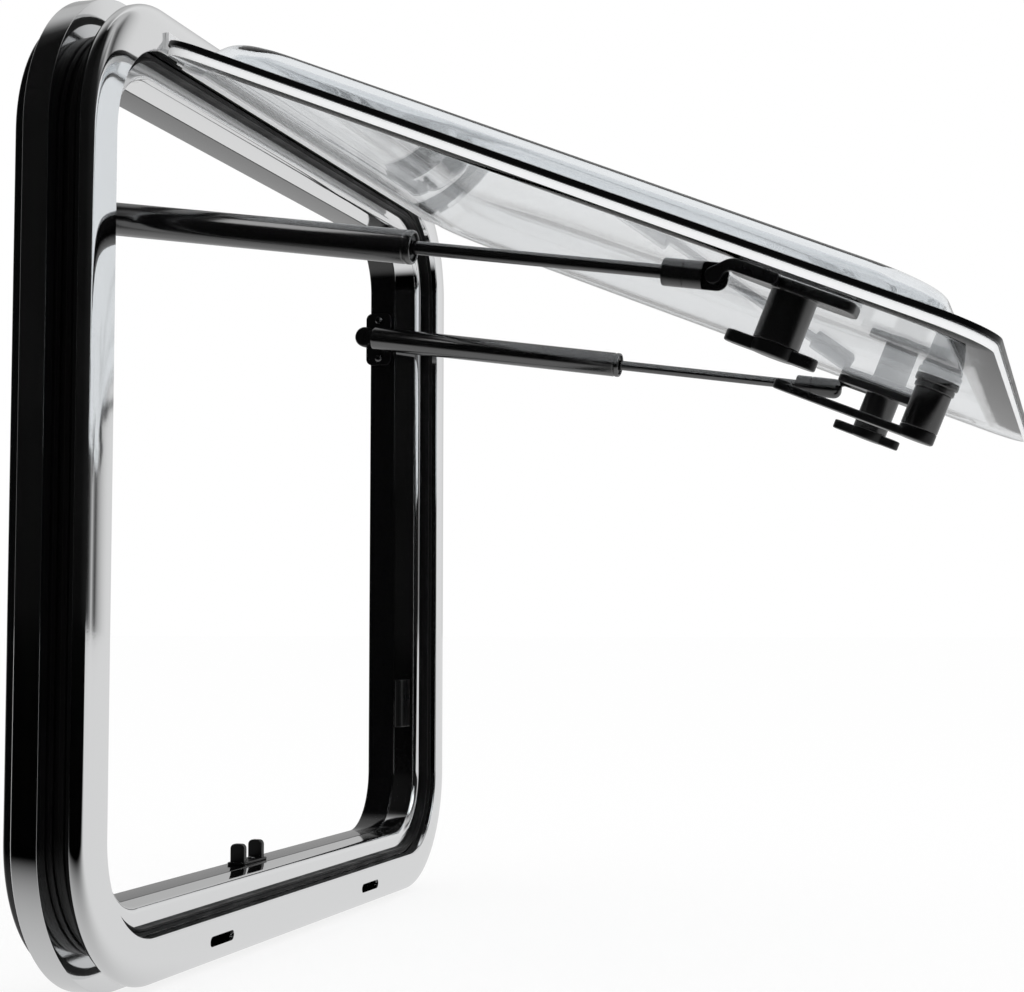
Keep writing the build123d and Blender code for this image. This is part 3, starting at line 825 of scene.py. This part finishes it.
class CARAVAN_OT_lock(bpy.types.Operator):
    """The middle lock: base, collar, post and lever"""
    bl_idname = "caravan.lock"
    bl_label = "Middle lock"

    def execute(self, context):
        base_top, collar_top, post_top, lever_length, tip_width = 3.6, 7.0, 26.7, 72.5, 9.0
        matrix = joint_matrix("lever_turn")
        base = [(0, 0), (11.1, 0), (11.3, 0.3), (11.3, 3.0), (10.9, 3.5), (10.2, base_top), (0, base_top)]
        collar = [(0, base_top), (9.8, base_top), (9.8, 4.0), (10.4, 4.3), (10.4, 6.4), (10.0, 6.8),
                  (9.4, collar_top), (0, collar_top)]
        post = [(0, collar_top), (9.3, collar_top), (9.6, 7.3), (9.6, 26.4), (9.4, post_top), (0, post_top)]
        for node, profile in (("lock_base", base), ("lock_collar", collar), ("lock_post", post)):
            turned(node + "_moulded", profile, matrix, "sash", "post_black", node)
        boss = [(0, 27.0), (9.4, 27.0), (9.6, 27.2), (9.6, 31.9), (9.3, 32.6), (8.6, 33.0), (0, 33.0)]
        tip = arc((0, -lever_length), tip_width / 2, 0, 360, 24)[:-1]
        mesh = joined(slab_mesh(bar(lever_length, 13.0, tip_width), 28.8, 32.95, matrix),
                      turned_mesh(boss, matrix, 96), slab_mesh(tip, 27.6, 32.9, matrix))
        moulded("lock_lever_moulded", mesh, "lever", "lock_lever", 0.8, 60.0)
        return {"FINISHED"}


class CARAVAN_OT_keepers(bpy.types.Operator):
    """The ledges that the T-bars turn behind, and the two prongs that the lever turns onto"""
    bl_idname = "caravan.keepers"
    bl_label = "Keepers"

    def ledge(self, name, side):
        low, high = (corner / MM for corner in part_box("latch_keeper_" + name))
        points = [(low.x, low.y), (high.x, low.y), (high.x, high.y), (low.x, high.y)]
        free_corners = (0, 3) if side > 0 else (1, 2)
        outline = rounded(points, dict.fromkeys(free_corners, 1.5), 6)
        mesh = slab_mesh(outline, low.z, high.z, Matrix.Identity(4))
        moulded("latch_keeper_ledge_" + name, mesh, "frame", "latch_keeper_" + name, 0.5)

    def prongs(self):
        base_thick, half_prong, prong_x, half_thick = 1.4, 4, 12, 2
        low, high = (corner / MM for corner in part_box("lock_keeper"))
        middle, base_top = (low.y + high.y) / 2, low.z + base_thick
        base = box_outline(low.x + 2, high.x - 2, low.y + 1, high.y - 1, 2.5, 6)
        meshes = [slab_mesh(base, low.z, base_top, Matrix.Identity(4))]
        outline = rounded([(middle - half_prong, low.z), (middle + half_prong, low.z),
                           (middle + half_prong, high.z), (middle - half_prong, high.z)], {2: 2.5, 3: 2.5}, 8)
        for x in (-prong_x, prong_x):
            meshes.append(slab_mesh(outline, x - half_thick, x + half_thick, FACING_X))
        moulded("lock_keeper_prongs", joined(*meshes), "frame", "lock_keeper", 0.45)
        screws("keeper_screws", [(x, middle, base_top) for x in (-5.5, 5.5)], Matrix.Identity(4), 2.2)

    def execute(self, context):
        for name, side in SIDES:
            self.ledge(name, side)
        self.prongs()
        return {"FINISHED"}


class CARAVAN_OT_hinge(bpy.types.Operator):
    """The hinge's two extrusions, which end where the frame's corners begin to bend"""
    bl_idname = "caravan.hinge"
    bl_label = "Hinge"

    def execute(self, context):
        length_kept = 0.9
        shorter = Matrix.Scale(length_kept, 4, (1, 0, 0))
        for node, body in (("hinge_rail", "frame"), ("hinge_leaf", "sash")):
            mesh = frame["nodes"][node].data.copy()
            mesh.transform(shorter)
            mesh.materials.clear()
            piece(node.replace("hinge", "hinge_extruded"), mesh, body, "satin_aluminium", node, 30.0)
        return {"FINISHED"}


class CARAVAN_OT_struts(bpy.types.Operator):
    """The gas struts: cylinder, eye, end guide, rod, the rod's end and the foot on the jamb"""
    bl_idname = "caravan.struts"
    bl_label = "Gas struts"

    def cylinder(self, name, matrix):
        own = strut_sizes()
        radius, end, start, bore, plug = own.tube_radius, own.tube_end, 5.5, own.tube_radius - 1.5, 6.0
        profile = [(0, start), (radius - 1.4, start), (radius - 0.5, 5.8), (radius, 6.7), (radius, end - 4.0),
                   (radius - 0.35, end - 3.6), (radius - 0.35, end - 3.0), (radius, end - 2.6),
                   (radius, end - 0.9), (radius - 0.3, end - 0.25), (radius - 0.8, end),
                   (radius - 1.3, end - 0.15), (bore, end - 0.8), (bore, end - plug), (0, end - plug)]
        body = "cylinder_" + name
        turned("strut_cylinder_" + name, profile, matrix, body, "strut_black", "strut_tube_" + name)
        hole, outside, deep, face = own.rod_radius + 0.1, radius - 1.6, end - 5.8, end - 1.4
        guide = [(hole, deep), (hole, face), (own.rod_radius + 0.5, end - 1.0), (4.9, end - 1.0), (5.3, face),
                 (outside, face), (outside, deep)]
        turned("strut_guide_" + name, guide, matrix, body, "latch_black", "strut_collar_" + name, 64, True)

    def rod(self, name, side, matrix):
        """The rod and its round end, which is cut flat on the side of the arm."""
        own = strut_sizes()
        start, radius, tip_round, flat_x = own.socket_start, 6.0, 4.5, 0.2
        end, rod_end, flat, waist = start + own.socket_length, start + 0.5, start + 17.5, radius - 0.35
        thick = own.rod_radius
        profile = [(0, own.rod_start), (thick, own.rod_start), (thick, rod_end), (0, rod_end)]
        turned("strut_rod_polished_" + name, profile, matrix, "rod_" + name, "strut_black",
               "strut_rod_" + name, 64)
        profile = [(0, start), (radius - 1.0, start), (radius - 0.3, start + 0.3), (radius, start + 1.0),
                   (radius, start + 9.1), (waist, start + 9.3), (waist, start + 9.7), (radius, start + 9.9),
                   (radius, flat), (radius, flat + 0.1)]
        turns = [math.radians(turn) for turn in range(0, 91, 15)]
        profile += [(radius - tip_round * (1 - math.cos(turn)), end - tip_round + tip_round * math.sin(turn))
                    for turn in turns] + [(0, end)]
        mesh = turned_mesh(profile, Matrix.Identity(4), 96)
        for vertex in mesh.vertices:
            if vertex.co.z > (flat + 0.05) * MM and vertex.co.x * side > flat_x * MM:
                vertex.co.x = side * flat_x * MM
        mesh.transform(Matrix.Translation(matrix.translation * MM) @ matrix.to_3x3().to_4x4())
        piece("rod_end_moulded_" + name, mesh, "rod_" + name, "post_black", "rod_socket_" + name)

    def eye_and_foot(self, name, side):
        jamb_x, foot_thick, screw_up = 215.0, 2.5, 12.5
        centre = Vector((side * FOOT_AT.x, FOOT_AT.y, FOOT_AT.z))
        outwards = Matrix(((0, 0, side, 0), (0, 1, 0, 0), (-side, 0, 0, 0), (0, 0, 0, 1)))
        inwards = Matrix(((0, 0, -side, 0), (0, 1, 0, 0), (side, 0, 0, 0), (0, 0, 0, 1)))
        matrix = Matrix.Translation(centre) @ outwards
        eye = [(0, -4.5), (4.6, -4.5), (5.7, -4.1), (6.4, -3.0), (6.5, -1.5), (6.5, 1.5), (6.4, 3.0),
               (5.7, 4.1), (4.6, 4.5), (0, 4.5)]
        turned("strut_eye_moulded_" + name, eye, matrix, "cylinder_" + name, "latch_black",
               "strut_eye_" + name, 64)
        low, high = (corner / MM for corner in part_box("strut_foot_" + name))
        outline = box_outline(low.y, high.y, low.z, high.z, 4.0, 8)
        face_x = side * (jamb_x - foot_thick)
        near, far = sorted((face_x, side * jamb_x))
        stud = [(0, 4.8), (3.5, 4.8), (3.5, 9.0), (4.6, 9.6), (4.6, 10.0), (0, 10.0)]
        mesh = joined(slab_mesh(outline, near, far, FACING_X), turned_mesh(stud, matrix, 48))
        moulded("strut_foot_plate_" + name, mesh, "frame", "strut_foot_" + name, 0.5, 60.0)
        middle = Vector((face_x, (low.y + high.y) / 2, (low.z + high.z) / 2))
        spots = [(-screw_up, 0, 0), (screw_up, 0, 0)]
        screws("foot_screws_" + name, spots, Matrix.Translation(middle) @ inwards, 2.4)

    def arm(self, name, side):
        """The arm beside the latch plate: a foot on the pane, bent away to a round tip on the rod's end."""
        own = strut_sizes()
        arm_thick, seat_thick = 4.5, 5.0
        rest = rounded([(3.4, 9.0), (-3.1, 8.2), (4.4, 0.0), (26.0, 0.0), (26.0, 5.2), (4.6, 5.5)],
                       {2: 8.0, 3: 1.0, 4: 2.4, 5: 3.0}, 8)[2:]
        outline = arc((0, 9.6), 3.6, -10, 205, 24) + rest
        beside = sash_matrix() @ (Matrix.Translation((0, own.pivot_down, 0)) @ FACING_X)
        near, far = sorted((side * own.arm_inner, side * (own.arm_inner + arm_thick)))
        seat = [(0.0, 10.0), (-4.7, 10.0), (-4.7, 14.6), (-2.0, 26.0), (0.0, 26.0)]
        seat = [(side * (own.arm_inner + x), down) for x, down in seat]
        mesh = joined(slab_mesh(outline, near, far, beside),
                      slab_mesh(seat, 0.0, seat_thick, sash_matrix(0.0, own.pivot_down)))
        moulded("strut_arm_" + name, mesh, "sash", "strut_bracket_" + name, 0.5)

    def execute(self, context):
        for name, side in SIDES:
            matrix = strut_matrix(side)
            self.cylinder(name, matrix)
            self.rod(name, side, matrix)
            self.eye_and_foot(name, side)
            self.arm(name, side)
        return {"FINISHED"}


class CARAVAN_OT_gasket(bpy.types.Operator):
    """Gives the gasket, the one solid that still shows, its finish"""
    bl_idname = "caravan.gasket"
    bl_label = "Flange gasket"

    def execute(self, context):
        gasket = frame["nodes"]["flange_gasket"].data
        gasket.materials.clear()
        gasket.materials.append(finish("rubber_black"))
        smooth(gasket, 30.0)
        return {"FINISHED"}


# Brightness round the horizon that gloss reflects; 0 looks along -X, a half along +X
SHINE = ((0.0, 0.002), (0.27, 0.012), (0.305, 0.05), (0.335, 0.22), (0.356, 0.52), (0.372, 0.2),
         (0.386, 0.05), (0.4, 0.34), (0.422, 0.74), (0.45, 0.78), (0.55, 0.5), (0.64, 0.3), (0.74, 0.02),
         (0.8, 0.003), (1.0, 0.002))
STRIP_LEVEL = 0.5
FLOOR_REACH = 60.0
FLOOR_DROP = 0.0005
FLOOR_PAINT = 0.95
FLOOR_WHITE = 0.85
FLOOR_SHINE = 0.74

# Name, place, size and power of each lamp, in metres and watts
LAMPS = (("soft_above", (-0.4, -1.2, 1.6), 1.2, 4.0), ("strut_glint", (-0.75, 0.5, 1.32), 0.55, 2.3))

# The photograph's camera: sensor and lens in millimetres, place in millimetres, and angles in degrees
SENSOR, LENS = 36.0, 71.13
CAMERA_AT = (-1029.0, -418.5, 151.3)
CAMERA_TURN, CAMERA_TILT, CAMERA_ROLL = 15.85, 3.822, 0.063


class CARAVAN_OT_stage(bpy.types.Operator):
    """The floor, the light and the camera"""
    bl_idname = "caravan.stage"
    bl_label = "Stage"

    def execute(self, context):
        self.add_floor()
        self.add_world()
        self.add_lamps()
        self.add_camera()
        context.scene.view_settings.view_transform = "Standard"
        return {"FINISHED"}

    def maths(self, tree, operation, a, b):
        made = tree.nodes.new("ShaderNodeMath")
        made.operation = operation
        for taken, value in zip(made.inputs, (a, b)):
            if isinstance(value, float):
                taken.default_value = value
            else:
                tree.links.new(value, taken)
        return made.outputs[0]

    def seen(self, tree):
        """1 for what the camera sees itself or through the sheets."""
        rays = tree.nodes["path"].outputs
        return self.maths(tree, "MAXIMUM", rays["Is Camera Ray"], rays["Is Transmission Ray"])

    def add_floor(self):
        """White for the camera and through glass, pale paint for light, and brighter to gloss towards +X."""
        low, reach = CAD_LOW.z - FLOOR_DROP, FLOOR_REACH
        mesh = bpy.data.meshes.new("floor")
        corners = [(-reach, -reach, low), (reach, -reach, low), (reach, reach, low), (-reach, reach, low)]
        mesh.from_pydata(corners, [], [(0, 1, 2, 3)])
        made = bpy.data.materials.new("pale_floor")
        made.use_nodes = True
        tree = made.node_tree
        tree.nodes.clear()
        add_nodes(tree, "ShaderNode", {
            "out": "OutputMaterial", "paint": "BsdfDiffuse", "white": "Emission", "shine": "Emission",
            "path": "LightPath", "place": "TexCoord", "split": "SeparateXYZ", "first": "MixShader",
            "second": "MixShader"})
        nodes = tree.nodes
        nodes["paint"].inputs["Color"].default_value = (FLOOR_PAINT, FLOOR_PAINT, FLOOR_PAINT, 1)
        brighter = spread(tree, nodes["split"].outputs["X"], -0.5, -0.1, 0.0, FLOOR_SHINE, "SMOOTHSTEP")
        tree.links.new(brighter, nodes["shine"].inputs["Strength"])
        direct = self.maths(tree, "MULTIPLY", self.seen(tree), FLOOR_WHITE)
        tree.links.new(direct, nodes["first"].inputs["Fac"])
        wire(tree, ("place.Object > split.0", "paint.0 > first.1", "white.0 > first.2",
                    "path.Is Glossy Ray > second.Fac", "first.0 > second.1", "shine.0 > second.2",
                    "second.0 > out.Surface"))
        mesh.materials.append(made)
        placed("floor", mesh)

    def add_world(self):
        """White for the camera; for gloss, the bands of light round the horizon and a strip above."""
        world = bpy.data.worlds.new("studio")
        bpy.context.scene.world = world
        world.use_nodes = True
        tree = world.node_tree
        nodes = tree.nodes
        nodes.clear()
        add_nodes(tree, "ShaderNode", {
            "out": "OutputWorld", "place": "TexCoord", "split": "SeparateXYZ", "bands": "ValToRGB",
            "level": "RGBToBW", "white": "Background", "glossy": "Background", "path": "LightPath",
            "first": "MixShader", "second": "MixShader"})
        across = nodes["split"].outputs
        around = self.maths(tree, "ARCTAN2", across["Y"], across["X"])
        around = self.maths(tree, "MULTIPLY_ADD", around, 1 / math.tau)
        around.node.inputs[2].default_value = 0.5
        tree.links.new(around, nodes["bands"].inputs["Fac"])
        steps = nodes["bands"].color_ramp.elements
        for index, (position, value) in enumerate(SHINE):
            step = steps[index] if index < 2 else steps.new(position)
            step.position, step.color = position, (value, value, value, 1)
        strip = spread(tree, across["Z"], 0.4, 0.7, 0.0, STRIP_LEVEL, "SMOOTHSTEP")
        beyond = spread(tree, across["X"], 0.0, 0.4, 0.0, 1.0, "SMOOTHSTEP")
        above = self.maths(tree, "MULTIPLY", strip, beyond)
        shine = self.maths(tree, "MAXIMUM", nodes["level"].outputs[0], above)
        tree.links.new(shine, nodes["glossy"].inputs["Strength"])
        for name in ("white", "glossy"):
            nodes[name].inputs["Color"].default_value = (1, 1, 1, 1)
        tree.links.new(self.seen(tree), nodes["second"].inputs["Fac"])
        wire(tree, ("place.Generated > split.0", "bands.Color > level.0", "path.Is Glossy Ray > first.Fac",
                    "white.0 > first.1", "glossy.0 > first.2", "first.0 > second.1", "white.0 > second.2",
                    "second.0 > out.Surface"))

    def add_lamps(self):
        """A soft lamp above, and a small one that only the struts show as a glint along their tops."""
        aim = (CAD_LOW + CAD_HIGH) / 2
        struts = bpy.data.collections.new("struts")
        for made in bpy.context.scene.objects:
            if made.name.startswith("strut_cylinder"):
                struts.objects.link(made)
        for name, spot, size, power in LAMPS:
            lamp = bpy.data.lights.new(name, "AREA")
            lamp.size, lamp.energy = size, power
            made = placed(name, lamp)
            made.location = spot
            made.rotation_euler = (aim - Vector(spot)).to_track_quat("-Z", "Y").to_euler()
            if name == "strut_glint":
                made.light_linking.receiver_collection = struts
            else:
                made.visible_glossy = False

    def add_camera(self):
        lens = bpy.data.cameras.new("photo_view")
        lens.sensor_width, lens.lens = SENSOR, LENS
        made = placed("photo_view", lens)
        turn, tilt, roll = (math.radians(angle) for angle in (CAMERA_TURN, CAMERA_TILT, CAMERA_ROLL))
        forward = Vector((math.cos(turn) * math.cos(tilt), math.sin(turn) * math.cos(tilt), math.sin(tilt)))
        made.location = Vector(CAMERA_AT) * MM
        made.rotation_euler = (forward.to_track_quat("-Z", "Y").to_matrix()
                               @ Matrix.Rotation(roll, 3, "Z")).to_euler()
        bpy.context.scene.camera = made


OPERATORS = (
    CARAVAN_OT_gasket, CARAVAN_OT_outer_frame, CARAVAN_OT_sleeve, CARAVAN_OT_clamp_and_trim,
    CARAVAN_OT_seal, CARAVAN_OT_panes, CARAVAN_OT_latches, CARAVAN_OT_lock, CARAVAN_OT_keepers,
    CARAVAN_OT_hinge, CARAVAN_OT_struts, CARAVAN_OT_stage)


class CARAVAN_PT_pieces(bpy.types.Panel):
    """Lists the sizes and the operators in the sidebar"""
    bl_idname = "CARAVAN_PT_pieces"
    bl_label = "Caravan window"
    bl_space_type = "VIEW_3D"
    bl_region_type = "UI"
    bl_category = "Caravan window"

    def draw(self, context):
        for name, kind in GROUPS:
            column = self.layout.column(align=True)
            for label in kind.__annotations__:
                column.prop(getattr(context.scene, name), label)
        for operator in OPERATORS:
            self.layout.operator(operator.bl_idname)


GROUPS = (("window_frame", FrameSizes), ("window_sash", SashSizes), ("window_struts", StrutSizes),
          ("window_finish", WindowFinish))


def register():
    for name, group in GROUPS:
        bpy.utils.register_class(group)
        setattr(bpy.types.Scene, name, bpy.props.PointerProperty(type=group))
    for kind in (*OPERATORS, CARAVAN_PT_pieces):
        bpy.utils.register_class(kind)


def unregister():
    for kind in reversed((*OPERATORS, CARAVAN_PT_pieces)):
        bpy.utils.unregister_class(kind)
    for name, group in reversed(GROUPS):
        delattr(bpy.types.Scene, name)
        bpy.utils.unregister_class(group)


def main():
    register()
    for operator in OPERATORS:
        group, name = operator.bl_idname.split(".")
        getattr(getattr(bpy.ops, group), name)()


if __name__ == "__main__":
    main()
